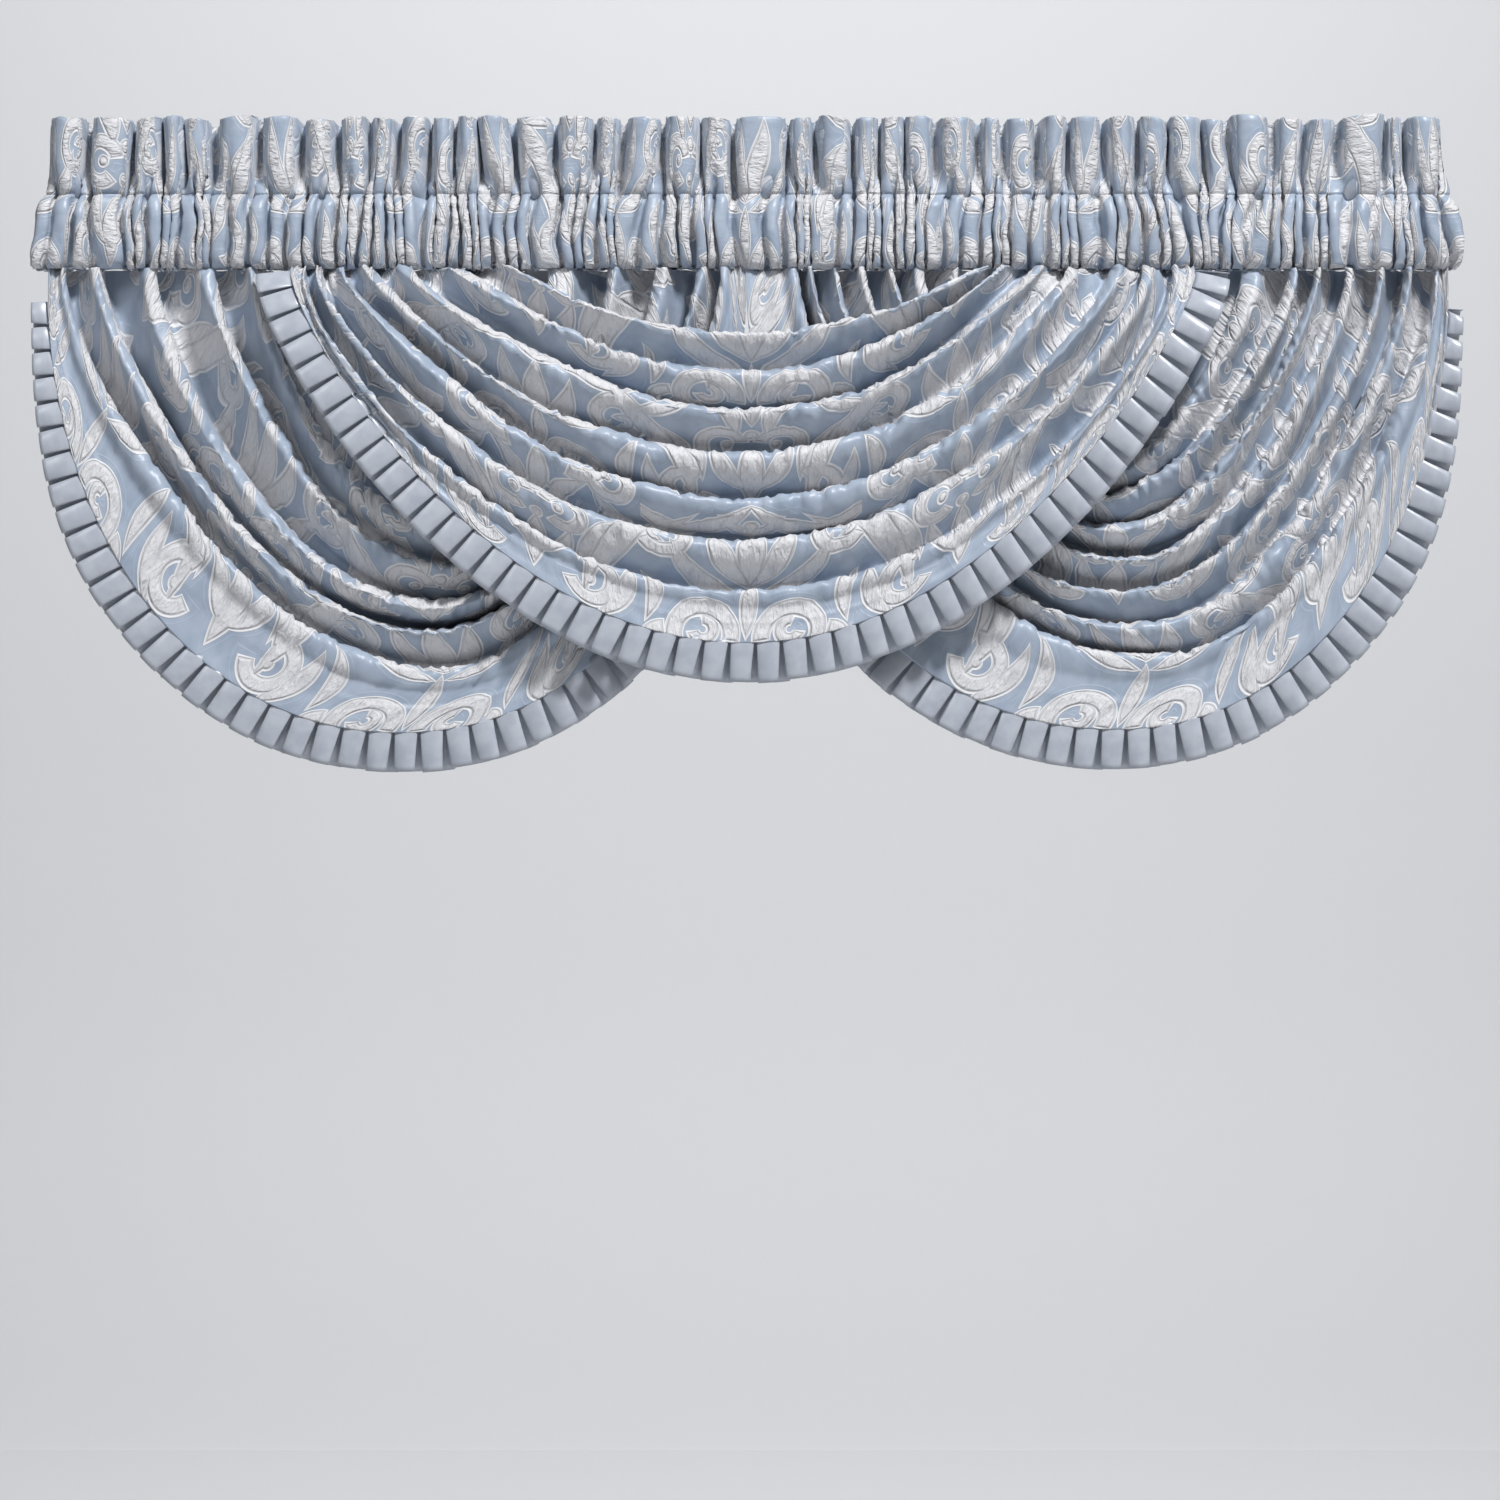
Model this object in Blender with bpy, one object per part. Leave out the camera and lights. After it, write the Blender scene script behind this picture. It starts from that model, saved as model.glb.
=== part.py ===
"""A waterfall valance of three draped swags on one gathered heading, hanging as it does on its rod.

The parts are the heading with its rod pocket, the left, centre and right swags, and a knife-pleated
trim on the hem of each swag. All sizes are in metres with +Z up, and the front faces -Y. The origin
is the middle of the heading's top edge.
"""
import math

import bmesh
import bpy
from mathutils import Vector

MM = 0.001

# Sheets
BAND_THICKNESS = 0.0012
SWAG_THICKNESS = 0.0020
TRIM_THICKNESS = 0.0014

# Heading and rod pocket: the widths of the ruffles from left to right, in mm, and their depth
BAND_LEFT = -0.6615
BAND_RIGHT = 0.6645
RUFFLE_WIDTHS = (
    37, 42, 33, 22, 24, 43, 40, 37, 28, 24, 32, 24, 27, 33, 36, 35, 24, 43, 36, 29, 54,
    25, 37, 23, 25, 27, 45, 21, 31, 30, 35, 33, 27, 37, 25, 39, 24, 30, 53, 16, 40,
)
RUFFLE_STATIONS = (0.0, 0.28, 0.74)
RUFFLE_SHARE = 0.15
RUFFLE_DEPTH_MAX = 0.0046
GATHER_DEPTH = 0.0012
END_BULGE = 0.013

# The band's section from the front of its lower edge, over the top fold, to the back of its lower edge
# Columns: height and depth in mm, share of the ruffles, of the gathers and of the bulge at the ends
BAND_SECTION = (
    (-145.2, -2.4, 0.1, 0.5, 0.8),
    (-138.5, -12.8, 0.0, 1.0, 1.0),
    (-81.5, -13.2, 0.0, 1.0, 0.7),
    (-73.6, -2.8, 0.45, 0.3, 0.1),
    (-1.6, -2.8, 1.0, 0.0, 0.0),
    (-1.6, 2.8, 1.0, 0.0, 0.0),
    (-73.6, 2.8, 0.45, 0.3, 0.1),
    (-81.5, 12.4, 0.0, 1.0, 0.7),
    (-138.5, 12.4, 0.0, 1.0, 1.0),
    (-145.2, 2.4, 0.1, 0.5, 0.8),
)

# Swags: one row for each fold from the upper loop to the hem, in mm. The first row is the line that the
# cloth's upper edge is tucked towards, and the last one is the hem.
# Columns: left end, lowest point across, lowest point down, right end, belly of the curve, depth
CENTRE_FOLDS = (
    (-206, 4, -196, 216, 0.00, 8),
    (-228, 6, -212, 228, 0.00, 10),
    (-272, 6, -247, 246, 0.00, 12),
    (-321, 6, -288, 279, 0.10, 13),
    (-359, 6, -332, 318, 0.10, 13),
    (-382, 6, -376, 351, 0.20, 12),
    (-402, 6, -411, 381, 0.35, 11),
    (-416, 4, -456, 405, 0.40, 12),
    (-428, 0, -499, 424, 0.30, 0),
)
LEFT_FOLDS = (
    (-440, -286, -346, -190, 0.3, 8),
    (-469, -290, -394, -164, 0.3, 10),
    (-511, -286, -426, -122, 0.3, 11),
    (-568, -292, -464, -72, 0.3, 12),
    (-615, -296, -490, -40, 0.3, 11),
    (-645, -286, -531, -18, 0.4, 12),
    (-659, -325, -583, -8, 1.0, 0),
)
RIGHT_FOLDS = (
    (226, 308, -312, 422, 0.4, 8),
    (200, 315, -344, 478, 0.4, 9),
    (165, 330, -364, 517, 0.3, 10),
    (138, 346, -390, 544, 0.3, 11),
    (112, 352, -420, 573, 0.3, 11),
    (86, 350, -451, 600, 0.4, 11),
    (62, 360, -484, 630, 0.4, 10),
    (44, 378, -521, 655, 0.5, 11),
    (28, 350, -580, 665, 1.0, 0),
)

# Where a swag hangs: its seam just below the band, and how far it stands forward under it
# Columns in metres: seam height, seam depth, further depth, and the drop over which it comes forward
CENTRE_STANCE = (-0.1457, -0.0080, -0.0380, 0.024)
SIDE_STANCE = (-0.1460, 0.0030, -0.0170, 0.060)

# A curve with a belly of 0 is a parabola, and one with a belly of 1 is a little fuller than an ellipse
FULLNESS = 2.1

FOLD_END_SHARE = 0.45
FOLD_ROLL = 0.07
TUCK_START = 0.55
PANEL_SHARE = 0.55

# Pleated trims
PLEAT_PITCH = 0.0240
PLEAT_DEPTH = 0.0045
TRIM_WIDTH = 0.0375
TRIM_TUCK = 0.0050
TRIM_CLEARANCE = 0.0009
TRIM_END_RUN = 0.07
TRIM_END_DROP = 0.003
NARROW_RUN = 0.25
PLEAT_EDGE = 0.82


def smooth(value):
    """Rises softly from 0 to 1."""
    value = min(max(value, 0.0), 1.0)
    return value * value * (3.0 - 2.0 * value)


def material(name, color, roughness):
    """A plain cloth material of one colour."""
    made = bpy.data.materials.new(name)
    made.use_nodes = True
    shader = made.node_tree.nodes["Principled BSDF"]
    shader.inputs["Base Color"].default_value = (*color, 1.0)
    shader.inputs["Roughness"].default_value = roughness
    shader.inputs["Metallic"].default_value = 0.0
    return made


def sheet(name, along, across, place, thickness, look):
    """A grid moved by place(a, b), a from left to right and b from bottom to top, and made thick behind."""
    shape = bmesh.new()
    bmesh.ops.create_grid(shape, x_segments=along, y_segments=across, size=1.0)
    for vertex in shape.verts:
        vertex.co = place((vertex.co.x + 1.0) / 2.0, (vertex.co.y + 1.0) / 2.0)
    data = bpy.data.meshes.new(name)
    shape.to_mesh(data)
    shape.free()
    data.materials.append(look)
    item = bpy.data.objects.new(name, data)
    bpy.context.collection.objects.link(item)
    thick = item.modifiers.new("thickness", "SOLIDIFY")
    thick.thickness = thickness
    thick.offset = -1.0
    return item


def between_rows(rows, position):
    """The columns of a table at a place between its rows, on a soft curve through them."""
    last = len(rows) - 1
    index = min(int(position), last - 1)
    share = position - index
    before, here = rows[max(index - 1, 0)], rows[index]
    after, beyond = rows[index + 1], rows[min(index + 2, last)]
    values = []
    for p0, p1, p2, p3 in zip(before, here, after, beyond):
        slope_in, slope_out = (p2 - p0) / 2.0, (p3 - p1) / 2.0
        cubic = 2.0 * (p1 - p2) + slope_in + slope_out
        square = 3.0 * (p2 - p1) - 2.0 * slope_in - slope_out
        values.append(p1 + share * (slope_in + share * (square + share * cubic)))
    return values


def stand_off(stance, z):
    """How far a swag stands off the wall at a height, before its folds."""
    seam_z, seam_depth, further, drop = stance
    return seam_depth + further * (1.0 - math.exp((z - seam_z) / drop))


def swag_point(folds, stance, position, way):
    """A point of a swag's front: position counts the folds downwards and way runs from -1 to 1 along them."""
    last_fold = len(folds) - 2
    in_folds = 1.0 - smooth((position - last_fold) / 0.3)
    rolled = position + FOLD_ROLL * in_folds * math.sin(2.0 * math.pi * position)
    left, low_x, low_z, right, belly, _ = between_rows(folds, min(max(rolled, 0.0), last_fold + 1.0))
    depth = between_rows(folds, position)[5] * MM
    reach = math.sin(abs(way) * math.pi / 2.0)
    end = left if way < 0.0 else right
    round_rise = 1.0 - max(0.0, 1.0 - reach ** FULLNESS) ** (1.0 / FULLNESS)
    rise = (1.0 - belly) * reach ** 2 + belly * round_rise
    x = (low_x + (end - low_x) * reach) * MM
    z = low_z * MM + (stance[0] - low_z * MM) * rise
    if position <= last_fold:
        crest = 2.0 * abs(math.cos(math.pi * position)) ** 1.2 - 1.0
    else:
        depth = folds[last_fold][5] * MM
        crest = 1.0 - 1.3 * smooth((position - last_fold) / PANEL_SHARE)
    share = FOLD_END_SHARE + (1.0 - FOLD_END_SHARE) * (1.0 - abs(way) ** 3)
    return Vector((x, stand_off(stance, z) - depth * share * crest, z))


def swag(name, folds, stance, along, across, look):
    """One swag: a thin draped sheet between its tucked upper edge and its hem."""
    last = len(folds) - 1

    def place(a, b):
        return swag_point(folds, stance, last + (TUCK_START - last) * b, 2.0 * a - 1.0)

    return sheet(name, along, across, place, SWAG_THICKNESS, look)


def trim(name, folds, stance, way_start, way_end, narrow_left, narrow_right, look):
    """One pleated trim, sewn behind the hem of its swag and standing out past it."""
    last = len(folds) - 1
    steps = 600
    ways = [way_start + (way_end - way_start) * i / steps for i in range(steps + 1)]
    line = [swag_point(folds, stance, last, way) for way in ways]
    lengths = [0.0]
    for here, after in zip(line, line[1:]):
        lengths.append(lengths[-1] + (after - here).length)
    pleats = round(lengths[-1] / PLEAT_PITCH)

    def on_hem(length):
        length = min(max(length, 0.0), lengths[-1])
        index = 0
        while index < steps - 1 and lengths[index + 1] < length:
            index += 1
        share = (length - lengths[index]) / (lengths[index + 1] - lengths[index])
        tangent = line[index + 1] - line[index]
        outward = Vector((tangent.z, 0.0, -tangent.x)).normalized()
        return line[index].lerp(line[index + 1], share), outward

    def place(a, b):
        station = round(a * 2 * pleats)
        fold = station % 2
        length = (station // 2 + PLEAT_EDGE * fold) * lengths[-1] / pleats
        point, outward = on_hem(length)
        run = length / lengths[-1]
        width = TRIM_WIDTH * (1.0 - narrow_left * (1.0 - smooth(run / NARROW_RUN)))
        width *= 1.0 - narrow_right * (1.0 - smooth((1.0 - run) / NARROW_RUN))
        near_end = 1.0 - smooth(min(run, 1.0 - run) / TRIM_END_RUN)
        tuck = TRIM_TUCK * (1.0 - 1.3 * near_end)
        out = width - (width + tuck) * b
        behind = SWAG_THICKNESS + TRIM_CLEARANCE + 0.0012 - 0.0008 * fold + TRIM_END_DROP * near_end
        free = behind - PLEAT_DEPTH * fold - 0.0005
        depth = free + (behind - free) * b
        moved = point + outward * out
        moved.y += depth + stand_off(stance, moved.z) - stand_off(stance, point.z)
        return moved

    return sheet(name, 2 * pleats, 1, place, TRIM_THICKNESS, look)


def heading_band(name, look):
    """The heading and rod pocket: one piece folded over at the top, gathered, open at both ends."""
    scale = (BAND_RIGHT - BAND_LEFT) / sum(RUFFLE_WIDTHS)
    stations = []
    left = BAND_LEFT
    for width in RUFFLE_WIDTHS:
        depth = min(RUFFLE_DEPTH_MAX, RUFFLE_SHARE * width * scale)
        for share in RUFFLE_STATIONS:
            stations.append((left + share * width * scale, depth if share == 0.0 else -depth))
        left += width * scale
    stations.append((BAND_RIGHT, RUFFLE_DEPTH_MAX / 2.0))
    rows = len(BAND_SECTION) - 1

    def place(a, b):
        index = round(a * (len(stations) - 1))
        x, ruffle = stations[index]
        z, y, ruffled, gathered, bulged = BAND_SECTION[round(b * rows)]
        outward = -1.0 if y < 0.0 else 1.0
        gather = GATHER_DEPTH * math.cos(math.pi * index) * outward
        edge = 2.0 * a - 1.0
        x += END_BULGE * bulged * math.copysign(abs(edge) ** 20, edge)
        z += 1.6 * math.sin(0.9 * index) * ruffled
        return Vector((x, y * MM + ruffle * ruffled + gather * gathered, z * MM))

    return sheet(name, len(stations) - 1, rows, place, BAND_THICKNESS, look)


def main():
    """Builds the seven parts."""
    for item in list(bpy.data.objects):
        bpy.data.objects.remove(item, do_unlink=True)

    damask = ((0.60, 0.65, 0.74), 0.55)
    satin = ((0.66, 0.72, 0.80), 0.38)

    heading_band("heading_band", material("heading_cloth", *damask))
    swag("left_swag", LEFT_FOLDS, SIDE_STANCE, 18, 30, material("left_swag_cloth", *damask))
    swag("centre_swag", CENTRE_FOLDS, CENTRE_STANCE, 20, 38, material("centre_swag_cloth", *damask))
    swag("right_swag", RIGHT_FOLDS, SIDE_STANCE, 18, 36, material("right_swag_cloth", *damask))
    trim("left_trim", LEFT_FOLDS, SIDE_STANCE, -0.96, 0.97, 0.25, 0.65, material("left_trim_satin", *satin))
    centre_satin = material("centre_trim_satin", *satin)
    trim("centre_trim", CENTRE_FOLDS, CENTRE_STANCE, -0.98, 0.98, 0.1, 0.1, centre_satin)
    trim("right_trim", RIGHT_FOLDS, SIDE_STANCE, -0.97, 0.95, 0.65, 0.4, material("right_trim_satin", *satin))


main()
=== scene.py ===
import math

import bmesh
import bpy
import numpy as np
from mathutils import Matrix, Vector, noise


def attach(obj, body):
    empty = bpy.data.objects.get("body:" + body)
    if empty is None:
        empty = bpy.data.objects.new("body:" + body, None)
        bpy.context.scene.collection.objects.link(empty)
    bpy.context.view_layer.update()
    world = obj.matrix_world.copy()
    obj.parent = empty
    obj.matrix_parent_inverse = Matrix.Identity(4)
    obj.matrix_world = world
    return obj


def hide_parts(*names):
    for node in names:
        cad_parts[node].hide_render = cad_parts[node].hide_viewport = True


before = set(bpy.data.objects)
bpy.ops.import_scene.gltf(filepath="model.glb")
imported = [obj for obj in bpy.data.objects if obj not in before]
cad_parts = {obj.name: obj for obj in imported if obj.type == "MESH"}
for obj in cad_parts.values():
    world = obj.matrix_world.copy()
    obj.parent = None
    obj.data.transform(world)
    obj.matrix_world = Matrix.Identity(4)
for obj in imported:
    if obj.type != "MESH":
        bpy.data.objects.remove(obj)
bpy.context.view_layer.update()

# Heading and rod pocket
# One long strip of damask is folded over at the top and sewn through along two lines. The upper part
# stands up as a ruffle, and the part between the lines is the gathered pocket for the curtain rod.
BAND_LEFT = -0.6615
BAND_RIGHT = 0.6645
RUFFLE_WIDTHS = (
    37, 42, 33, 22, 24, 43, 40, 37, 28, 24, 32, 24, 27, 33, 36, 35, 24, 43, 36, 29, 54,
    25, 37, 23, 25, 27, 45, 21, 31, 30, 35, 33, 27, 37, 25, 39, 24, 30, 53, 16, 40,
)
BAND_THICKNESS = 0.0010
COLUMNS_PER_RUFFLE = 23
RUFFLE_DEPTH = 0.0125
GATHERS_PER_RUFFLE = 2.4
GATHER_DEPTH = 0.0068
GATHER_SHIFT = 0.012
END_BULGE = 0.013

# Columns: height and depth in mm, share of the ruffles, share of the gathers, share of the bulge at the ends
BAND_SECTION = (
    (-141.6, 0.6, 0.05, 0.5, 0.8),
    (-145.0, -1.6, 0.05, 0.9, 0.8),
    (-143.0, -6.8, 0.0, 1.0, 0.9),
    (-138.0, -11.8, 0.0, 1.0, 1.0),
    (-126.0, -14.6, 0.0, 1.0, 1.0),
    (-108.0, -15.4, 0.0, 1.0, 0.9),
    (-92.0, -14.4, 0.0, 1.0, 0.8),
    (-82.0, -11.6, 0.05, 1.0, 0.6),
    (-76.8, -8.0, 0.16, 1.0, 0.3),
    (-74.8, -4.8, 0.18, 1.1, 0.2),
    (-73.4, -2.2, 0.2, 1.1, 0.1),
    (-72.0, -3.8, 0.26, 1.1, 0.1),
    (-66.0, -5.0, 0.5, 0.9, 0.1),
    (-56.0, -5.2, 0.8, 0.45, 0.0),
    (-42.0, -4.6, 1.0, 0.1, 0.0),
    (-24.0, -3.6, 1.05, 0.0, 0.0),
    (-6.0, -3.2, 1.1, 0.0, 0.0),
    (-1.2, -2.6, 1.1, 0.0, 0.0),
    (0.0, 0.0, 1.1, 0.0, 0.0),
    (-1.2, 2.6, 1.1, 0.0, 0.0),
    (-6.0, 3.0, 1.1, 0.0, 0.0),
    (-36.0, 3.0, 1.0, 0.0, 0.0),
    (-62.0, 3.0, 0.8, 0.2, 0.0),
    (-73.6, 2.8, 0.42, 0.6, 0.1),
    (-80.0, 8.6, 0.2, 0.8, 0.6),
    (-92.0, 13.0, 0.0, 1.0, 0.8),
    (-116.0, 13.6, 0.0, 1.0, 1.0),
    (-136.0, 12.4, 0.0, 1.0, 1.0),
    (-143.0, 7.6, 0.0, 0.9, 0.9),
    (-145.2, 2.4, 0.05, 0.6, 0.8),
)

# Columns: place across one ruffle, and depth from its front at -1 to the back of the gap beside it at 1
RUFFLE_PATH = (
    (0.00, 1.00),
    (0.06, 0.90),
    (0.09, 0.40),
    (0.055, -0.10),
    (0.05, -0.50),
    (0.12, -0.84),
    (0.28, -1.02),
    (0.50, -1.12),
    (0.72, -1.02),
    (0.88, -0.84),
    (0.95, -0.50),
    (0.945, -0.10),
    (0.91, 0.40),
    (0.94, 0.90),
    (1.00, 1.00),
)


def soft(value):
    """Rises softly from 0 to 1."""
    value = np.clip(value, 0.0, 1.0)
    return value * value * (3.0 - 2.0 * value)


def uneven(*places, seed=0.0):
    """Smooth unevenness between about -1 and 1 at places given as arrays, one for each direction."""
    places = np.broadcast_arrays(*places)
    flat = [place.ravel() for place in places]
    while len(flat) < 3:
        flat.append(np.full(flat[0].shape, seed))
    values = [noise.noise(Vector(spot)) for spot in zip(*flat)]
    return 1.6 * np.array(values).reshape(places[0].shape)


def between_rows(rows, place):
    """The columns of a table at places between its rows, on soft curves through them."""
    rows = np.array(rows, dtype=float)
    last = len(rows) - 1
    index = np.clip(place.astype(int), 0, last - 1)
    share = place - index
    values = []
    for column in rows.T:
        p0, p1 = column[np.maximum(index - 1, 0)], column[index]
        p2, p3 = column[index + 1], column[np.minimum(index + 2, last)]
        slope_in, slope_out = (p2 - p0) / 2.0, (p3 - p1) / 2.0
        cubic = 2.0 * (p1 - p2) + slope_in + slope_out
        square = 3.0 * (p2 - p1) - 2.0 * slope_in - slope_out
        values.append(p1 + share * (slope_in + share * (square + share * cubic)))
    return values


def run_length(points, axis):
    """The distance along a grid of points from its first row or column."""
    steps = np.linalg.norm(np.diff(points, axis=axis), axis=-1)
    return np.insert(np.cumsum(steps, axis=axis), 0, 0.0, axis=axis)


def outward(points):
    """The direction in which each point of a grid of cloth faces."""
    facing = np.cross(np.gradient(points, axis=1), np.gradient(points, axis=0))
    return facing / np.maximum(np.linalg.norm(facing, axis=-1, keepdims=True), 1e-9)


def cloth(name, along, across, shape, thickness, looks):
    """A sheet of cloth, made thick on the back.

    The shape gives the points of the sheet and their places on the flat cloth, for a row of shares along
    the cloth and a column of shares across it, all from 0 to 1.
    """
    grid = bmesh.new()
    bmesh.ops.create_grid(grid, x_segments=along, y_segments=across, size=1.0)
    mesh = bpy.data.meshes.new(name)
    grid.to_mesh(mesh)
    grid.free()
    spots = np.empty(len(mesh.vertices) * 3)
    mesh.vertices.foreach_get("co", spots)
    spots = spots.reshape(-1, 3).round(5)
    order = np.lexsort((spots[:, 0], spots[:, 1]))
    a = np.linspace(0.0, 1.0, along + 1)[None, :]
    b = np.linspace(0.0, 1.0, across + 1)[:, None]
    points, flat = shape(a, b)
    spots[order] = points.reshape(-1, 3)
    mesh.vertices.foreach_set("co", spots.ravel())
    places = np.empty((len(spots), 2))
    places[order] = flat.reshape(-1, 2)
    corners = np.empty(len(mesh.loops), dtype=np.int32)
    mesh.loops.foreach_get("vertex_index", corners)
    mesh.uv_layers.new(name="flat cloth").data.foreach_set("uv", places[corners].ravel())
    mesh.shade_smooth()
    mesh.update()
    for look in looks:
        mesh.materials.append(look)
    piece = bpy.data.objects.new(name, mesh)
    bpy.context.collection.objects.link(piece)
    thick = piece.modifiers.new("thickness", "SOLIDIFY")
    thick.thickness = thickness
    thick.offset = -1.0
    thick.material_offset = len(looks) - 1
    return piece


class Field:
    """A number that changes over the cloth, and the sums that make a pattern from it."""

    def __init__(self, tree, socket):
        self.tree = tree
        self.socket = socket

    def sum(self, operation, *others):
        node = self.tree.nodes.new("ShaderNodeMath")
        node.operation = operation
        for place, other in zip(node.inputs, (self, *others)):
            if isinstance(other, Field):
                self.tree.links.new(other.socket, place)
            else:
                place.default_value = other
        return Field(self.tree, node.outputs[0])

    def __add__(self, other):
        return self.sum("ADD", other)

    def __sub__(self, other):
        return self.sum("SUBTRACT", other)

    def __mul__(self, other):
        return self.sum("MULTIPLY", other)

    def low(self, other):
        return self.sum("MINIMUM", other)

    def high(self, other):
        return self.sum("MAXIMUM", other)

    def step(self, start, end):
        """Rises softly from 0 at start to 1 at end."""
        node = self.tree.nodes.new("ShaderNodeMapRange")
        node.interpolation_type = "SMOOTHSTEP"
        self.tree.links.new(self.socket, node.inputs["Value"])
        node.inputs["From Min"].default_value = start
        node.inputs["From Max"].default_value = end
        return Field(self.tree, node.outputs["Result"])


# The damask, in mm of the flat cloth before it is enlarged: half of its width from a middle line to the next,
# the height of a repeat, and where the repeat is cut. Next to each motif the same one stands half a repeat
# lower.
FIGURE_SCALE = 1.28
REPEAT_HALF = 165.0
REPEAT_HEIGHT = 340.0
REPEAT_CUT = 178.0

# Columns: across, up, turn in degrees, half length, half width, bend
LEAVES = (
    (0, 92, 90, 36, 11, 0),
    (21, 86, 66, 38, 9, -9),
    (40, 66, 42, 38, 9, -12),
    (0, 28, 90, 26, 6.5, 0),
    (0, -32, 90, 24, 9, 0),
    (18, -40, 58, 28, 8, 9),
    (66, -84, 60, 84, 10.5, 20),
    (99, 86, 120, 84, 10.5, -20),
    (44, -96, 66, 40, 6.5, 9),
    (0, -128, 90, 34, 10, 0),
    (20, -124, 62, 32, 7.5, -8),
    (30, 138, 158, 40, 7.5, 9),
    (72, -150, 66, 30, 7.5, -8),
    (92, 16, 108, 32, 7.5, 8),
    (70, 34, 84, 28, 6.5, 8),
    (64, 134, 18, 34, 7.5, -9),
    (104, 132, 70, 28, 7, 8),
    (62, -44, 148, 26, 7, 8),
    (98, -134, 84, 26, 7, 8),
)

# Columns: across, up, radius, half width of the stroke, middle of the arc in degrees, its half sweep
SCROLLS = (
    (32, 4, 21, 6.5, 40, 150),
    (32, 8, 7.5, 4.5, -150, 130),
    (46, -146, 17, 6, -20, 140),
    (0, 152, 19, 5.5, -90, 85),
    (66, 104, 17, 6, -170, 140),
    (70, 102, 5.5, 3.5, 20, 140),
    (99, -66, 17, 6, -10, 140),
    (22, -78, 15, 5.5, 20, 150),
    (58, -10, 15, 5.5, -60, 140),
)

# Columns: across, up, radius
KNOBS = (
    (0, -66, 6),
    (0, -92, 5),
    (18, -78, 4.5),
    (45, -148, 5),
    (0, 140, 6),
    (97, -68, 5),
    (56, -8, 4.5),
)


def group_of_nodes(name, ins, outs):
    """A new shader node group with named inputs and outputs."""
    group = bpy.data.node_groups.new(name, "ShaderNodeTree")
    for label, kind in ins:
        group.interface.new_socket(label, in_out="INPUT", socket_type=kind)
    for label, kind in outs:
        group.interface.new_socket(label, in_out="OUTPUT", socket_type=kind)
    return group, group.nodes.new("NodeGroupInput"), group.nodes.new("NodeGroupOutput")


def noise_field(tree, vector, scale, detail, roughness=0.5):
    """Procedural noise between 0 and 1 on a vector."""
    node = tree.nodes.new("ShaderNodeTexNoise")
    node.inputs["Scale"].default_value = scale
    node.inputs["Detail"].default_value = detail
    node.inputs["Roughness"].default_value = roughness
    tree.links.new(vector, node.inputs["Vector"])
    return Field(tree, node.outputs["Fac"])


def line_field(across, up, x, y, turn, scale):
    """How far places lie from a point along a direction in degrees, times a scale."""
    cos, sin = scale * math.cos(math.radians(turn)), scale * math.sin(math.radians(turn))
    return up.sum("MULTIPLY_ADD", sin, across.sum("MULTIPLY_ADD", cos, -x * cos - y * sin))


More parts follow.
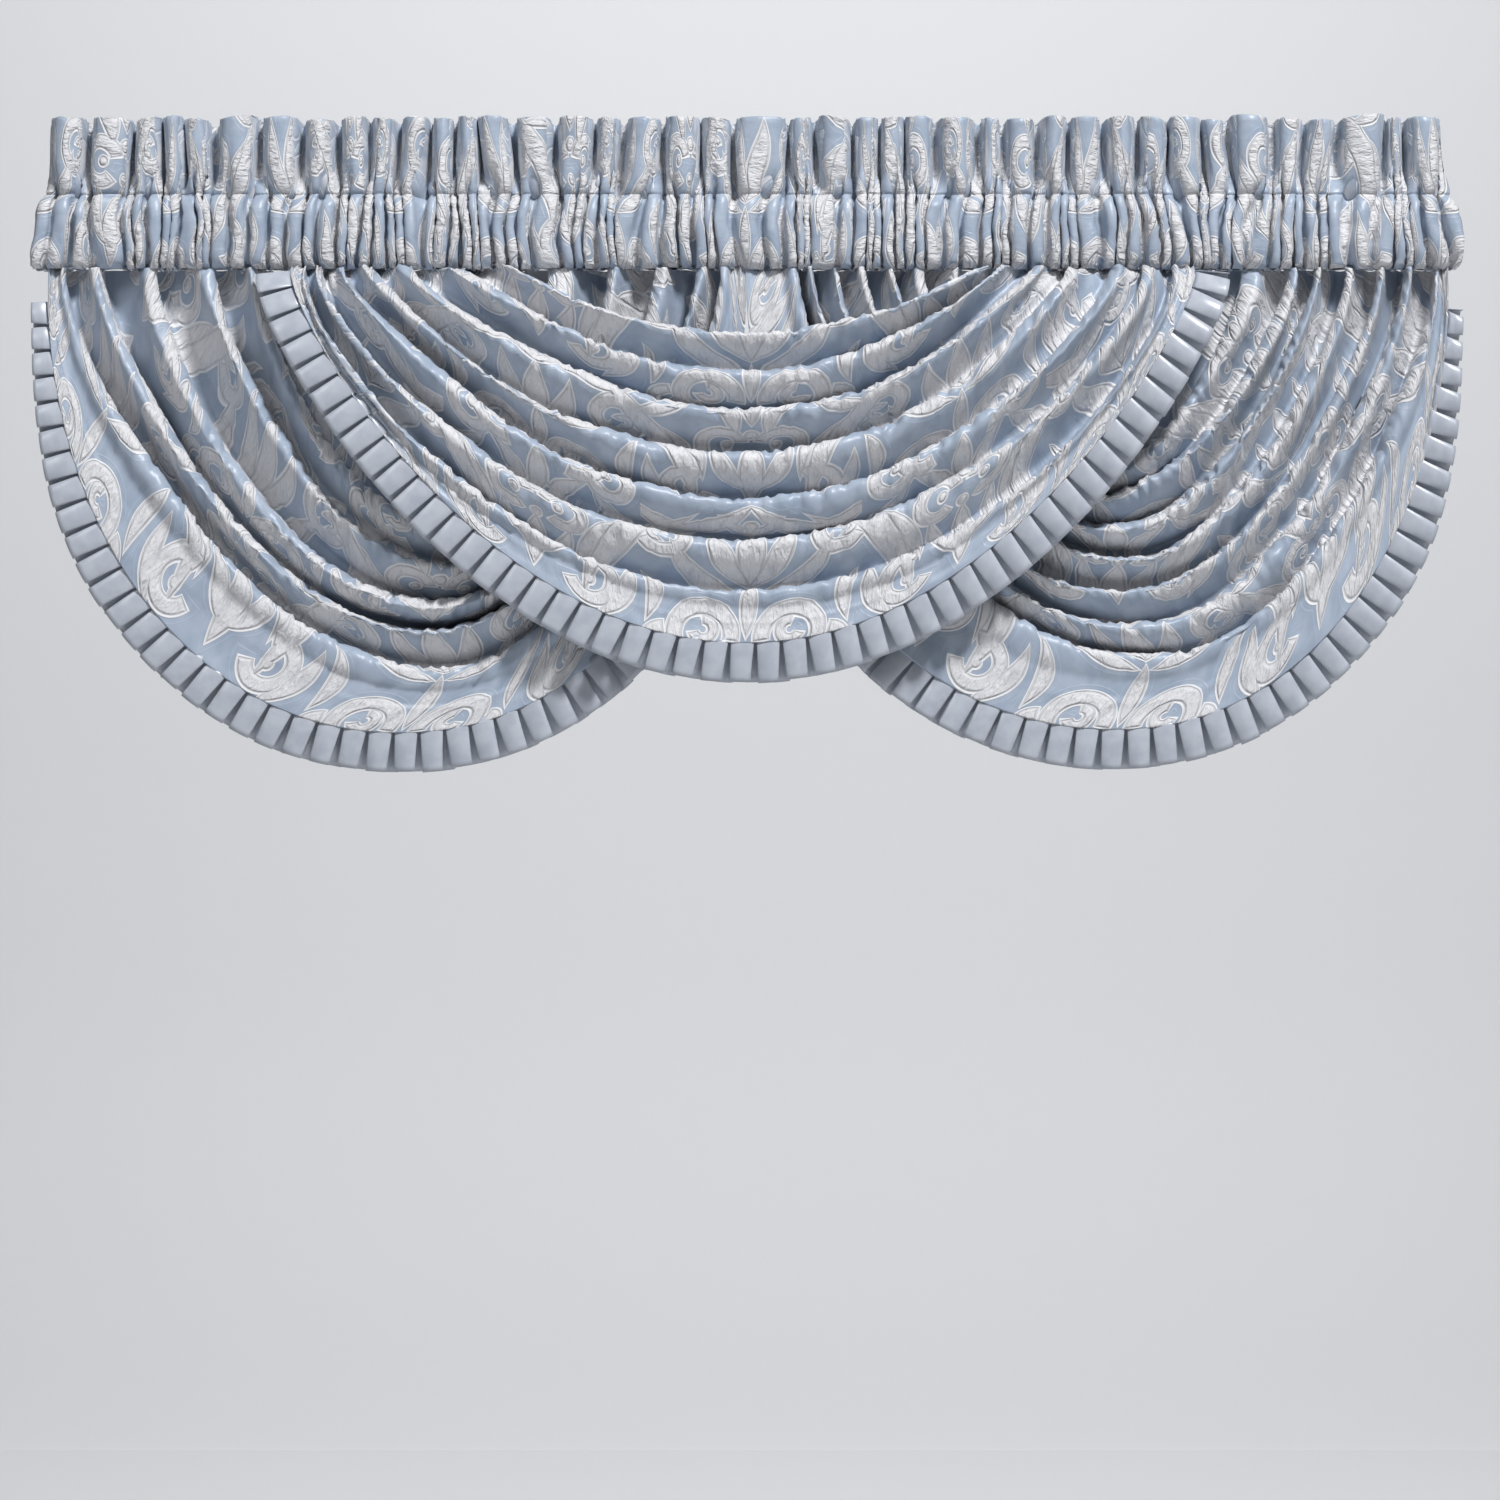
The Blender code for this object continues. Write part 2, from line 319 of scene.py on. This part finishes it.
def damask_group():
    """Leaves, scrolls and knobs, mirrored about middle lines, as masks and as a height in mm.

    Each motif is the distance to its edge, below 0 inside it, and the whole figure is the lowest of them.
    """
    group, start, end = group_of_nodes(
        "damask figure",
        [("Cloth", "NodeSocketVector"), ("Crinkles", "NodeSocketVector")],
        [(label, "NodeSocketFloat") for label in ("Figure", "Outline", "Crease", "Echo", "Crinkle Painted Shade", "Height")],
    )
    split = group.nodes.new("ShaderNodeSeparateXYZ")
    group.links.new(start.outputs["Cloth"], split.inputs[0])
    u, v = Field(group, split.outputs["X"]), Field(group, split.outputs["Y"])
    side = (u * (500.0 / REPEAT_HALF / FIGURE_SCALE) + 0.5).sum("FRACT") - 0.5
    side = side.sum("ABSOLUTE") * (2.0 * REPEAT_HALF)
    lowered = side.sum("GREATER_THAN", REPEAT_HALF / 2.0)
    across = side + lowered * (side * -2.0 + REPEAT_HALF)
    cut = REPEAT_CUT / REPEAT_HEIGHT
    up = (v * (1000.0 / REPEAT_HEIGHT / FIGURE_SCALE) + lowered * 0.5 + cut).sum("FRACT")
    up = (up - cut) * REPEAT_HEIGHT

    figure = None
    for x, y, turn, half_length, half_width, bend in LEAVES:
        along = line_field(across, up, x, y, turn, 1.0 / half_length)
        square = along * along
        middle = square.sum("MULTIPLY_ADD", bend, line_field(across, up, x, y, turn + 90.0, 1.0))
        leaf = middle.sum("ABSOLUTE") - square.sum("MULTIPLY_ADD", -half_width, half_width)
        figure = leaf if figure is None else figure.low(leaf)
    for x, y, radius, half_width, turn, sweep in SCROLLS:
        along = line_field(across, up, x, y, turn, 1.0)
        beside = line_field(across, up, x, y, turn + 90.0, 1.0)
        away = beside.sum("MULTIPLY_ADD", beside, along * along).sum("SQRT")
        ring = (away - radius).sum("ABSOLUTE") - half_width
        past_end = beside.sum("ARCTAN2", along).sum("ABSOLUTE")
        past_end = past_end.sum("MULTIPLY_ADD", radius, -radius * math.radians(sweep))
        figure = figure.low(ring.high(past_end))
    for x, y, radius in KNOBS:
        dx, dy = across - x, up - y
        figure = figure.low(dx.sum("MULTIPLY_ADD", dx, dy * dy).sum("SQRT") - radius)

    figure = (figure - 0.8) * FIGURE_SCALE
    raised = figure.step(0.3, -0.3)
    outline = (figure + 0.8).sum("ABSOLUTE").step(1.0, 0.4)
    crease = (figure + 2.7).sum("ABSOLUTE").step(1.0, 0.3)
    echo = (figure - 4.5).sum("ABSOLUTE").step(0.9, 0.4)
    swell = figure.step(-1.6, -5.0)
    fine = noise_field(group, start.outputs["Crinkles"], 1.0, 3.0, 0.6)
    broad = noise_field(group, start.outputs["Crinkles"], 0.36, 2.0, 0.5)
    rough = (fine - 0.5).sum("ABSOLUTE") * -2.4 + (broad - 0.5).sum("ABSOLUTE") * -3.6
    height = outline * 0.5 + crease * -0.3 + swell * (rough + 1.0) * 1.9 + echo * 0.1 + rough * 0.2
    # Painted shade: a mask of the figure where its crinkles sink, for darkening those hollows in colour
    crinkle_painted_shade = rough.step(-0.3, -1.1) * raised
    fields = (raised, outline, crease, echo, crinkle_painted_shade, height)
    for field, place in zip(fields, end.inputs):
        group.links.new(field.socket, place)
    return group


def mix_colour(tree, share, first, second):
    """A colour between two, by a field."""
    node = tree.nodes.new("ShaderNodeMix")
    node.data_type = "RGBA"
    tree.links.new(share.socket, node.inputs["Factor"])
    for place, colour in ((node.inputs["A"], first), (node.inputs["B"], second)):
        if isinstance(colour, tuple):
            place.default_value = (*colour, 1.0)
        else:
            tree.links.new(colour, place)
    return node.outputs["Result"]


DAMASK = damask_group()
SILVER = (0.63, 0.63, 0.65)
SILVER_LINE = (0.76, 0.77, 0.79)
# A darker silver used only as painted shade, in the figure's crinkle hollows and its crease groove
SILVER_PAINTED_SHADE = (0.41, 0.43, 0.47)
BLUE_SATIN = (0.36, 0.42, 0.51)
BLUE_SHADE = (0.28, 0.34, 0.435)
BLUE_LINE = (0.38, 0.44, 0.54)


def damask_cloth(name, crinkles, figure_colour=SILVER, ground_colour=BLUE_SATIN, relief=1.0):
    """Damask: a crinkled silver-white figure raised on a smooth pale blue satin ground."""
    look = bpy.data.materials.new(name)
    look.use_nodes = True
    tree = look.node_tree
    shader = tree.nodes["Principled BSDF"]
    places = tree.nodes.new("ShaderNodeUVMap")
    places.uv_map = "flat cloth"
    stretched = tree.nodes.new("ShaderNodeVectorMath")
    stretched.operation = "MULTIPLY"
    stretched.inputs[1].default_value = crinkles
    tree.links.new(places.outputs["UV"], stretched.inputs[0])
    figure = tree.nodes.new("ShaderNodeGroup")
    figure.node_tree = DAMASK
    tree.links.new(places.outputs["UV"], figure.inputs["Cloth"])
    tree.links.new(stretched.outputs[0], figure.inputs["Crinkles"])
    raised, outline, crease, echo, crinkle_painted_shade, height = (Field(tree, socket) for socket in figure.outputs)
    shade = noise_field(tree, places.outputs["UV"], 38.0, 2.0)
    ground = mix_colour(tree, shade.step(0.3, 0.7), BLUE_SHADE, ground_colour)
    ground = mix_colour(tree, echo * 0.5, ground, BLUE_LINE)
    colour = mix_colour(tree, raised, ground, figure_colour)
    # Painted shade: the figure is darkened towards the shaded silver in its crinkle hollows
    colour = mix_colour(tree, crinkle_painted_shade * 0.6, colour, SILVER_PAINTED_SHADE)
    # Painted shade: the crease groove inside the figure's edge is darkened towards the shaded silver as well
    colour = mix_colour(tree, crease * 0.4, colour, SILVER_PAINTED_SHADE)
    colour = mix_colour(tree, outline * 0.7, colour, SILVER_LINE)
    tree.links.new(colour, shader.inputs["Base Color"])
    roughness = raised * 0.26 + 0.40
    tree.links.new(roughness.socket, shader.inputs["Roughness"])
    bump = tree.nodes.new("ShaderNodeBump")
    bump.inputs["Strength"].default_value = relief
    bump.inputs["Distance"].default_value = 0.001
    tree.links.new(height.socket, bump.inputs["Height"])
    tree.links.new(bump.outputs["Normal"], shader.inputs["Normal"])
    shader.inputs["Sheen Weight"].default_value = 0.1
    return look


damask_upright = damask_cloth("damask of the heading", (60.0, 190.0, 1.0))
damask = damask_cloth("pale blue and silver damask", (150.0, 48.0, 1.0))
damask_back = damask_cloth("damask back", (150.0, 48.0, 1.0), BLUE_SATIN, SILVER, 0.4)


def band_shape(a, b):
    """The heading: ruffles above the upper line of stitching, finer gathers on the pocket under it."""
    count = len(RUFFLE_WIDTHS)
    scale = (BAND_RIGHT - BAND_LEFT) / sum(RUFFLE_WIDTHS)
    widths = np.array(RUFFLE_WIDTHS) * scale
    starts = BAND_LEFT + np.insert(np.cumsum(widths), 0, 0.0)
    place = a * count
    number = np.clip(place.astype(int), 0, count - 1)
    share = place - number
    b = b * (0.36 + 0.64 * b)
    z, y, ruffled, gathered, bulged = between_rows(BAND_SECTION, b * (len(BAND_SECTION) - 1))
    front = np.where(y < 0.0, 1.0, 0.0)

    across, depth_share = between_rows(RUFFLE_PATH, share * (len(RUFFLE_PATH) - 1))
    gap = 0.36 + 0.22 * uneven(number * 1.37, 0.0, seed=13.0)
    across = 0.5 + (across - 0.5) * (1.0 - gap * (1.0 - depth_share) / 2.0)
    x = starts[number] + (share + (across - share) * np.minimum(ruffled, 1.0)) * widths[number]
    depth = np.minimum(RUFFLE_DEPTH, 0.38 * widths[number])
    depth = depth * (1.0 + 0.2 * uneven(number * 1.7, z / 90.0, seed=7.0))
    ruffle = depth * depth_share * (1.0 + 0.35 * (depth_share > 0.0))

    phase = place * GATHERS_PER_RUFFLE + 0.5 * uneven(place * 1.3, 0.0, seed=5.0)
    phase = phase + 0.45 * uneven(place * 0.8, z / 90.0, seed=6.0)
    across_gather, gather = between_rows(RUFFLE_PATH, (phase % 1.0) * (len(RUFFLE_PATH) - 1))
    gather *= GATHER_DEPTH * (1.0 + 0.35 * uneven(place * 1.9, z / 70.0, seed=9.0))
    gather = np.where(front > 0.0, gather, -0.4 * gather)
    x = x + GATHER_SHIFT * (across_gather - phase % 1.0) * gathered * front
    edge = 2.0 * a - 1.0
    x = x + END_BULGE * bulged * np.sign(edge) * np.abs(edge) ** 20

    top = soft((z + 60.0) / 60.0)
    lean = uneven(place * 0.33, 0.0, seed=3.0) + 0.5 * uneven(number * 1.9, 0.0, seed=4.0)
    x = x + 0.0065 * lean * soft((z + 74.0) / 74.0)
    x = x + 0.0025 * uneven(place * 0.5, z / 40.0, seed=3.0) * gathered
    tilt = uneven(number * 2.7, 0.0, seed=15.0)
    rise = 0.0032 * uneven(number * 3.1, 0.0, seed=11.0) + 0.0035 * tilt * (2.0 * across - 1.0)
    lift = top * (rise - 0.0040 * np.abs(2.0 * across - 1.0) ** 5)
    forward = y * 0.001 + ruffle * ruffled + gather * gathered
    points = np.stack(np.broadcast_arrays(x, forward, z * 0.001 + lift), axis=-1)

    row = int(len(z) * 0.55)
    u = run_length(points[row:row + 1], 1)
    v = run_length(np.stack((0.0 * z, y * 0.001, z * 0.001), axis=-1), 0)
    u, v = np.broadcast_arrays(u, v)
    pucker = -0.0018 * np.abs(uneven(u * 26.0, v * 80.0, seed=2.0))
    pucker = pucker - 0.0009 * np.abs(uneven(u * 70.0, v * 30.0, seed=4.0))
    points = points + outward(points) * pucker[..., None]
    return points, np.stack((1.35 * u, v), axis=-1)


columns = len(RUFFLE_WIDTHS) * COLUMNS_PER_RUFFLE
heading = cloth("heading", columns, 51, band_shape, BAND_THICKNESS, (damask_upright, damask_back))
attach(heading, "root")
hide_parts("heading_band")

# Swags
# Each swag is one piece of the same damask, gathered at its two ends into the seam under the pocket, so
# that it hangs in deep rolled folds between them. The centre one hangs in front of the other two.

# One row for each fold, and the last one for the hem. Columns: left end, lowest point across, lowest point
# down and right end in mm, how round the curve's belly is from 0 to 1, and how deep the fold is in mm
CENTRE_FOLDS = (
    (-206, 4, -196, 216, 0.00, 8),
    (-228, 6, -212, 228, 0.00, 10),
    (-272, 6, -247, 246, 0.00, 12),
    (-321, 6, -288, 279, 0.10, 13),
    (-359, 6, -332, 318, 0.10, 13),
    (-382, 6, -376, 351, 0.20, 12),
    (-402, 6, -411, 381, 0.35, 11),
    (-416, 4, -456, 405, 0.40, 9),
    (-428, 0, -499, 424, 0.30, 0),
)
LEFT_FOLDS = (
    (-440, -286, -346, -225, 0.3, 10),
    (-469, -290, -394, -164, 0.3, 12),
    (-511, -286, -426, -122, 0.3, 14),
    (-568, -292, -464, -72, 0.3, 15),
    (-615, -296, -490, -40, 0.3, 14),
    (-645, -286, -531, -18, 0.4, 11),
    (-659, -325, -583, 2, 1.0, 0),
)
RIGHT_FOLDS = (
    (226, 308, -312, 422, 0.4, 10),
    (200, 315, -344, 478, 0.4, 11),
    (165, 330, -364, 517, 0.3, 13),
    (138, 346, -390, 544, 0.3, 14),
    (112, 352, -420, 573, 0.3, 14),
    (86, 350, -451, 600, 0.4, 14),
    (62, 360, -484, 630, 0.4, 13),
    (44, 378, -521, 655, 0.5, 11),
    (1, 350, -580, 665, 1.0, 0),
)

# Columns in metres: seam height, seam depth, further depth, and the drop over which it comes forward
CENTRE_STANCE = (-0.1425, -0.0080, -0.0380, 0.024)
SIDE_STANCE = (-0.1430, 0.0026, -0.0150, 0.060)
BELLY_ROUNDNESS = 2.1
SWAG_THICKNESS = 0.0016
FINE_PUCKER = 0.0056
BROAD_PUCKER = 0.0030
SWAG_WAVE = 0.0030
SEAM_GATHER = 0.0018

# One fold from its lip to the next lip under it. Columns: place and how far it stands forward, in the
# middle of a swag where the folds hang open, and the same towards its ends where they close to round rolls
FOLD_SECTION = (
    (-0.11, 0.90, -0.11, 0.88),
    (0.00, 1.00, 0.00, 1.00),
    (0.12, 0.93, 0.10, 0.90),
    (0.25, 0.74, 0.18, 0.60),
    (0.38, 0.42, 0.25, 0.22),
    (0.51, 0.02, 0.34, -0.20),
    (0.63, -0.44, 0.46, -0.52),
    (0.735, -0.84, 0.61, -0.80),
    (0.80, -1.00, 0.76, -1.00),
    (0.82, -0.84, 0.83, -0.88),
    (0.79, -0.36, 0.80, -0.40),
    (0.775, 0.20, 0.765, 0.18),
    (0.81, 0.62, 0.80, 0.62),
    (0.89, 0.90, 0.89, 0.88),
    (1.00, 1.00, 1.00, 1.00),
    (1.12, 0.93, 1.10, 0.90),
)


def hanging_depth(stance, z):
    """How far back the cloth hangs at a height: at its seam, and further forward below it."""
    seam_z, seam_depth, further, drop = stance
    return seam_depth + further * (1.0 - np.exp((z - seam_z) / drop))


def swag_points(folds, stance, place, way):
    """Points of a swag's front: place counts the folds downwards and way runs from -1 to 1 along them."""
    last = len(folds) - 2
    above = soft((last + 1.0 - place) / 1.2)
    in_folds = 1.0 - soft((place - last) / 0.3)
    ends = np.abs(way) ** 3
    side = soft((np.abs(way) - 0.15) / 0.6)
    drift = 0.14 * uneven(place * 0.8, way * 1.7, seed=stance[3] * 100.0 + last) * above
    share = place - np.floor(place)
    section = between_rows(FOLD_SECTION, 1.0 + share * (len(FOLD_SECTION) - 3))
    open_place, open_crest, roll_place, roll_crest = section
    rolled = place + drift + in_folds * (open_place + (roll_place - open_place) * side - share)
    left, low_x, low_z, right, belly, _ = between_rows(folds, np.clip(rolled, 0.0, last + 1.0))
    depth = between_rows(folds, np.minimum(place, last))[5]
    reach = np.sin(np.abs(way) * math.pi / 2.0)
    end = np.where(way < 0.0, left, right)
    round_rise = 1.0 - np.maximum(0.0, 1.0 - reach ** BELLY_ROUNDNESS) ** (1.0 / BELLY_ROUNDNESS)
    rise = (1.0 - belly) * reach ** 2 + belly * round_rise
    x = (low_x + (end - low_x) * reach) * 0.001
    z = low_z * 0.001 + (stance[0] - low_z * 0.001) * rise

    panel = 1.0 - 0.5 * soft((place - last) / 0.3) + 0.2 * soft((place - last - 0.2) / 0.7)
    crest = np.where(place <= last, open_crest + (roll_crest - open_crest) * side, panel)
    tucked = soft((0.64 - place) / 0.12)
    crest = crest * (1.0 - tucked) - tucked
    crest = crest + 0.2 * side * in_folds * (1.0 - ends) * uneven(place * 2.7, way * 1.3, seed=last)
    share = (0.75 + 0.25 * (1.0 - ends)) * (1.0 + 0.35 * side)
    depth = depth * 0.00125 * share
    depth = depth * (1.0 + 0.25 * uneven(np.floor(place + 0.5) * 1.9, way * 2.3, seed=1.0))
    return np.stack(np.broadcast_arrays(x, hanging_depth(stance, z) - depth * crest, z), axis=-1)


# Hollows and lips beside them, as columns: fold, way along it, half sizes both ways, and depth in mm
LEFT_HOLLOWS = (
    (3.42, 0.14, 0.30, 0.16, 13.0),
    (3.02, 0.05, 0.22, 0.22, -4.0),
    (3.92, 0.22, 0.26, 0.24, -5.0),
    (2.50, -0.20, 0.25, 0.30, 4.0),
)


def swag_shape(folds, stance, start, seed, hollows):
    """The shape of one swag, with the small puckers and gathers that lie on its folds."""
    last = len(folds) - 1

    def shape(a, b):
        place = last + (start - last) * b
        way = 2.0 * a - 1.0
        points = swag_points(folds, stance, place, way)
        for fold, along, half_fold, half_along, depth in hollows:
            away = ((place - fold) / half_fold) ** 2 + ((way - along) / half_along) ** 2
            points[..., 1] += 0.001 * depth * np.exp(-away)
        middle = points.shape[1] // 2
        u = run_length(points, 1)
        u = u - u[:, middle:middle + 1]
        u, v = np.broadcast_arrays(u, run_length(points[:, middle:middle + 1], 0))
        near_seam = np.exp((points[..., 2] - stance[0]) / 0.045)
        free = soft((last - place) / 0.25)
        ridge = np.abs(np.cos(math.pi * (place + 0.08))) ** 2 * soft((last - 0.2 - place) / 0.3)
        calm = 1.0 - 0.75 * soft((np.abs(way) - 0.3) / 0.5)
        fine = -FINE_PUCKER * np.abs(uneven(u * 85.0, v * 22.0, seed=seed + 1.0))
        fine = fine * (0.2 + 0.8 * ridge) * (0.12 + 0.88 * calm)
        broad = -BROAD_PUCKER * np.abs(uneven(u * 33.0, v * 17.0, seed=seed + 2.0))
        broad = broad * (0.4 + 0.6 * ridge) * calm
        wave = SWAG_WAVE * uneven(u * 8.0, v * 5.0, seed=seed + 3.0)
        turn = place * 2.0 + 0.4 * uneven(u * 9.0, place, seed=seed)
        gather = SEAM_GATHER * (1.0 - 2.0 * np.abs(np.sin(math.pi * turn)))
        lift = (fine + broad + wave) * (0.3 + 0.7 * free) + gather * near_seam * free
        return points + outward(points) * lift[..., None], np.stack((u, v), axis=-1)

    return shape


def swag(name, node, folds, stance, start, along, across, seed, hollows=()):
    """One swag, standing for its plain solid."""
    shape = swag_shape(folds, stance, start, seed, hollows)
    piece = cloth(name, along, across, shape, SWAG_THICKNESS, (damask, damask_back))
    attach(piece, "root")
    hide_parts(node)


swag(
    "swag_left", "left_swag", LEFT_FOLDS, SIDE_STANCE, start=0.38, along=290, across=164, seed=20.0,
    hollows=LEFT_HOLLOWS,
)
swag(
    "swag_centre", "centre_swag", CENTRE_FOLDS, CENTRE_STANCE, start=0.58, along=290, across=164, seed=30.0,
)
swag(
    "swag_right", "right_swag", RIGHT_FOLDS, SIDE_STANCE, start=0.30, along=276, across=172, seed=40.0,
)

# Pleated trims
# A strip of plain satin, pressed into knife pleats and sewn behind the hem of each swag. Each pleat's
# folded edge lies over the start of the next one, and the pleats open a little at the free edge.
PLEAT_PITCH = 0.0240
TRIM_WIDTH = 0.0375
TRIM_TUCK = 0.0045
TRIM_THICKNESS = 0.0007
TRIM_GAP = 0.0016
NARROW_RUN = 0.25
HEM_STEPS = 900
COLUMNS_PER_PLEAT = 24

# Columns: place along the pleat and depth in mm at the free edge, then the same at the sewn edge
PLEAT_PATH = (
    (0.00, -1.0, 0.00, 0.4),
    (0.05, -3.0, 0.06, -0.3),
    (0.27, -5.6, 0.38, -1.5),
    (0.51, -5.8, 0.70, -1.8),
    (0.67, -4.2, 0.88, -1.3),
    (0.72, -2.6, 0.93, -0.6),
    (0.70, -0.8, 0.925, 0.2),
    (0.60, 4.0, 0.84, 1.0),
    (0.58, 12.0, 0.83, 1.9),
    (0.83, 17.0, 0.88, 2.6),
    (1.08, 12.0, 0.95, 1.9),
    (1.08, 4.0, 0.99, 0.9),
    (1.00, -1.0, 1.00, 0.2),
)
SATIN = (0.43, 0.46, 0.515)
SATIN_SHADE = (0.36, 0.39, 0.45)


def satin_cloth(name):
    """Plain grey-blue satin with a fine weave."""
    look = bpy.data.materials.new(name)
    look.use_nodes = True
    tree = look.node_tree
    shader = tree.nodes["Principled BSDF"]
    places = tree.nodes.new("ShaderNodeUVMap")
    places.uv_map = "flat cloth"
    tone = noise_field(tree, places.outputs["UV"], 60.0, 2.0)
    tree.links.new(mix_colour(tree, tone.step(0.3, 0.7), SATIN_SHADE, SATIN), shader.inputs["Base Color"])
    weave = noise_field(tree, places.outputs["UV"], 900.0, 1.0)
    bump = tree.nodes.new("ShaderNodeBump")
    bump.inputs["Strength"].default_value = 0.25
    bump.inputs["Distance"].default_value = 0.0002
    tree.links.new(weave.socket, bump.inputs["Height"])
    tree.links.new(bump.outputs["Normal"], shader.inputs["Normal"])
    shader.inputs["Roughness"].default_value = 0.28
    shader.inputs["Sheen Weight"].default_value = 0.1
    return look


satin = satin_cloth("grey-blue satin")


def trim(name, node, folds, stance, way_start, way_end, narrow_left, narrow_right):
    """One pleated trim along the hem of a swag, narrower towards its ends by the given shares."""
    ways = np.linspace(way_start, way_end, HEM_STEPS + 1)[None, :]
    hem = swag_points(folds, stance, np.full((1, 1), len(folds) - 1.0), ways)[0]
    lengths = run_length(hem[None], 1)[0]
    onward = np.gradient(hem, axis=0)
    out = np.stack((onward[:, 2], 0.0 * onward[:, 2], -onward[:, 0]), axis=-1)
    out = out / np.linalg.norm(out, axis=-1, keepdims=True)
    pleats = round(lengths[-1] / PLEAT_PITCH)
    pitch = lengths[-1] / pleats

    def shape(a, b):
        place = a * pleats
        number = np.clip(place.astype(int), 0, pleats - 1)
        share = place - number
        path = between_rows(PLEAT_PATH, share * (len(PLEAT_PATH) - 1))
        free_along, free_depth, sewn_along, sewn_depth = path
        opened = (1.0 - b) ** 0.8 * (0.55 + 0.45 * soft((number / pleats - 0.15) / 0.3))
        jitter = 0.05 * uneven(number * 2.3, 0.0, seed=6.0)
        along = sewn_along + (free_along - sewn_along + jitter * share * (1.0 - share) * 4.0) * opened
        depth = sewn_depth + (free_depth - sewn_depth) * opened - 1.2 * np.sin(math.pi * b)
        length = (number + along) * pitch
        point = np.stack([np.interp(length, lengths, hem[:, axis]) for axis in range(3)], axis=-1)
        away = np.stack([np.interp(length, lengths, out[:, axis]) for axis in range(3)], axis=-1)
        run = length / lengths[-1]
        width = TRIM_WIDTH * (1.0 - narrow_left * (1.0 - soft(run / NARROW_RUN)))
        width = width * (1.0 - narrow_right * (1.0 - soft((1.0 - run) / NARROW_RUN)))
        width = width * (1.0 + 0.03 * uneven(number * 1.3, 0.0, seed=8.0))
        near_end = 1.0 - soft(np.minimum(run, 1.0 - run) / 0.07)
        tuck = TRIM_TUCK * (1.0 - 1.3 * near_end)
        moved = point + away * (width - (width + tuck) * b)[..., None]
        behind = SWAG_THICKNESS + TRIM_GAP + 0.003 * near_end
        forward = hanging_depth(stance, moved[..., 2]) - hanging_depth(stance, point[..., 2])
        moved[..., 1] += behind + depth * 0.001 + forward
        flat = np.broadcast_arrays(run_length(moved[:1], 1), b * (TRIM_WIDTH + TRIM_TUCK))
        return moved, np.stack(flat, axis=-1)

    piece = cloth(name, pleats * COLUMNS_PER_PLEAT, 8, shape, TRIM_THICKNESS, (satin,))
    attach(piece, "root")
    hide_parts(node)


# Each trim's start and end along its hem, from -1 to 1, and how much narrower it gets to the left and right
trim("trim_left", "left_trim", LEFT_FOLDS, SIDE_STANCE, -0.96, 0.82, 0.55, 0.15)
trim("trim_centre", "centre_trim", CENTRE_FOLDS, CENTRE_STANCE, -0.98, 0.98, 0.1, 0.1)
trim("trim_right", "right_trim", RIGHT_FOLDS, SIDE_STANCE, -0.82, 0.95, 0.2, 0.6)

# Studio
# The valance hangs free above a plain pale floor that curves up into a plain backdrop, far behind it. The
# main light is soft and comes from the upper right in front, and another lights the backdrop.

# Columns: distance behind the valance, and height
SWEEP = (
    (-6.0, -2.1), (4.0, -2.1), (5.2, -2.1), (6.2, -1.95),
    (6.8, -1.55), (7.0, -0.9), (7.0, 0.5), (7.0, 5.0),
)
sweep_shape = bmesh.new()
bmesh.ops.create_grid(sweep_shape, x_segments=1, y_segments=70, size=1.0)
for spot in sweep_shape.verts:
    y, z = between_rows(SWEEP, np.array([(spot.co.y + 1.0) / 2.0 * (len(SWEEP) - 1)]))
    spot.co = (7.0 * spot.co.x, y[0], z[0])
sweep_mesh = bpy.data.meshes.new("floor")
sweep_shape.to_mesh(sweep_mesh)
sweep_shape.free()
sweep_mesh.shade_smooth()
sweep_look = bpy.data.materials.new("pale floor")
sweep_look.use_nodes = True
sweep_shader = sweep_look.node_tree.nodes["Principled BSDF"]
sweep_shader.inputs["Base Color"].default_value = (0.80, 0.81, 0.83, 1.0)
sweep_shader.inputs["Roughness"].default_value = 0.9
sweep_mesh.materials.append(sweep_look)
sweep = bpy.data.objects.new("floor", sweep_mesh)
bpy.context.collection.objects.link(sweep)

world = bpy.data.worlds.new("studio")
bpy.context.scene.world = world
world.use_nodes = True
sky = world.node_tree.nodes["Background"]
sky.inputs["Color"].default_value = (0.90, 0.91, 0.93, 1.0)
sky.inputs["Strength"].default_value = 0.14
bpy.context.scene.view_settings.view_transform = "Standard"


def lamp(name, place, target, size, power, colour=(1.0, 1.0, 1.0)):
    """A soft square light at a place, turned to a target."""
    light = bpy.data.lights.new(name, "AREA")
    light.size = size
    light.energy = power
    light.color = colour
    item = bpy.data.objects.new(name, light)
    item.location = place
    item.rotation_euler = (Vector(target) - Vector(place)).to_track_quat("-Z", "Y").to_euler()
    bpy.context.collection.objects.link(item)


lamp("key light", (1.8, -3.5, 4.5), (0.0, 0.0, -0.35), 1.0, 475.0)
lamp("fill light", (-1.6, -2.4, 1.5), (0.2, 0.0, -0.3), 0.7, 15.0, (0.97, 0.98, 1.0))
lamp("backdrop light", (0.0, 3.6, 3.4), (0.0, 7.0, -1.6), 4.0, 110.0)

camera = bpy.data.cameras.new("camera")
camera.sensor_width = 36.0
camera.lens = 102.0
camera_item = bpy.data.objects.new("camera", camera)
camera_item.location = (0.0047, -4.03, -0.5994)
camera_item.rotation_euler = (math.pi / 2.0, 0.0, 0.0)
bpy.context.collection.objects.link(camera_item)
bpy.context.scene.camera = camera_item
